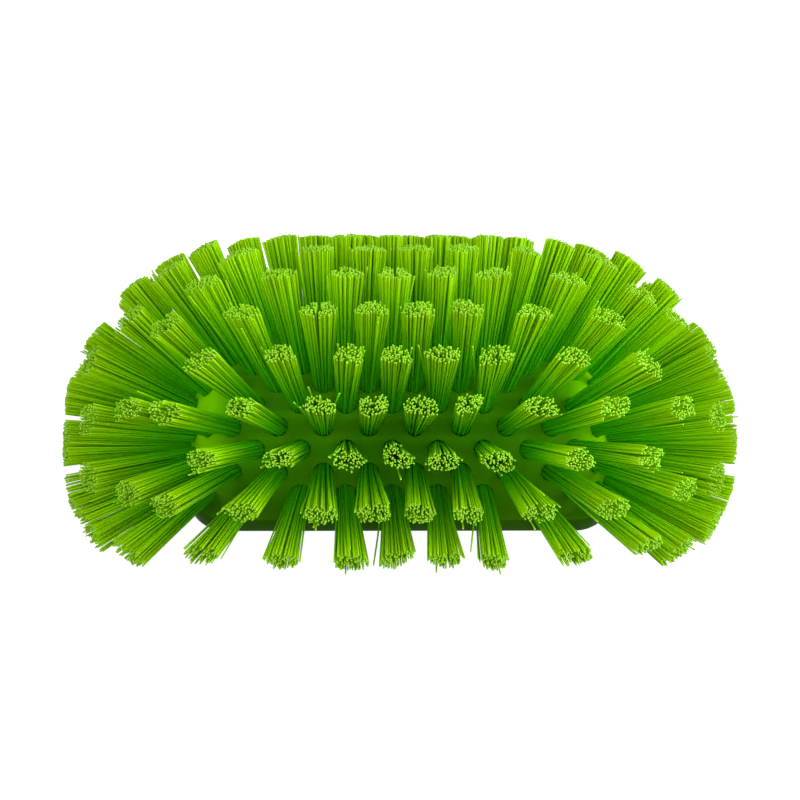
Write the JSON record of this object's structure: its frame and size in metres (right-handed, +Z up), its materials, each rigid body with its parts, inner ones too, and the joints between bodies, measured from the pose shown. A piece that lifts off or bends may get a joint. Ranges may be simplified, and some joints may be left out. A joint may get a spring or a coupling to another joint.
{
  "type": "scrub brush",
  "caption": "Tank scrub brush head: a crowned rounded-rectangular plastic block with stiff tufts fanning over its front, back and ends, and a handle socket in its back.",
  "frame": {"origin": "middle of the flat back, under the centre of the whole brush", "axes": "+X along the length of the block, +Y towards the back rows, +Z up out of the tufted face; the handle would come in from -Z"},
  "size_m": [0.2168, 0.1242, 0.0725],
  "materials": {
    "block_plastic": "moulded polypropylene, satin, lime green",
    "filament": "straight polyester filament, slightly translucent, lime green"
  },
  "bodies": {
    "root": {"block": "block_plastic", "tuft_row_01": "filament", "tuft_row_02": "filament", "tuft_row_03": "filament", "tuft_row_04": "filament", "tuft_row_05": "filament", "tuft_row_06": "filament", "tuft_row_07": "filament", "tuft_row_08": "filament", "tuft_row_09": "filament", "tuft_row_10": "filament", "tuft_end_left": "filament", "tuft_end_right": "filament"}
  },
  "joints": []
}
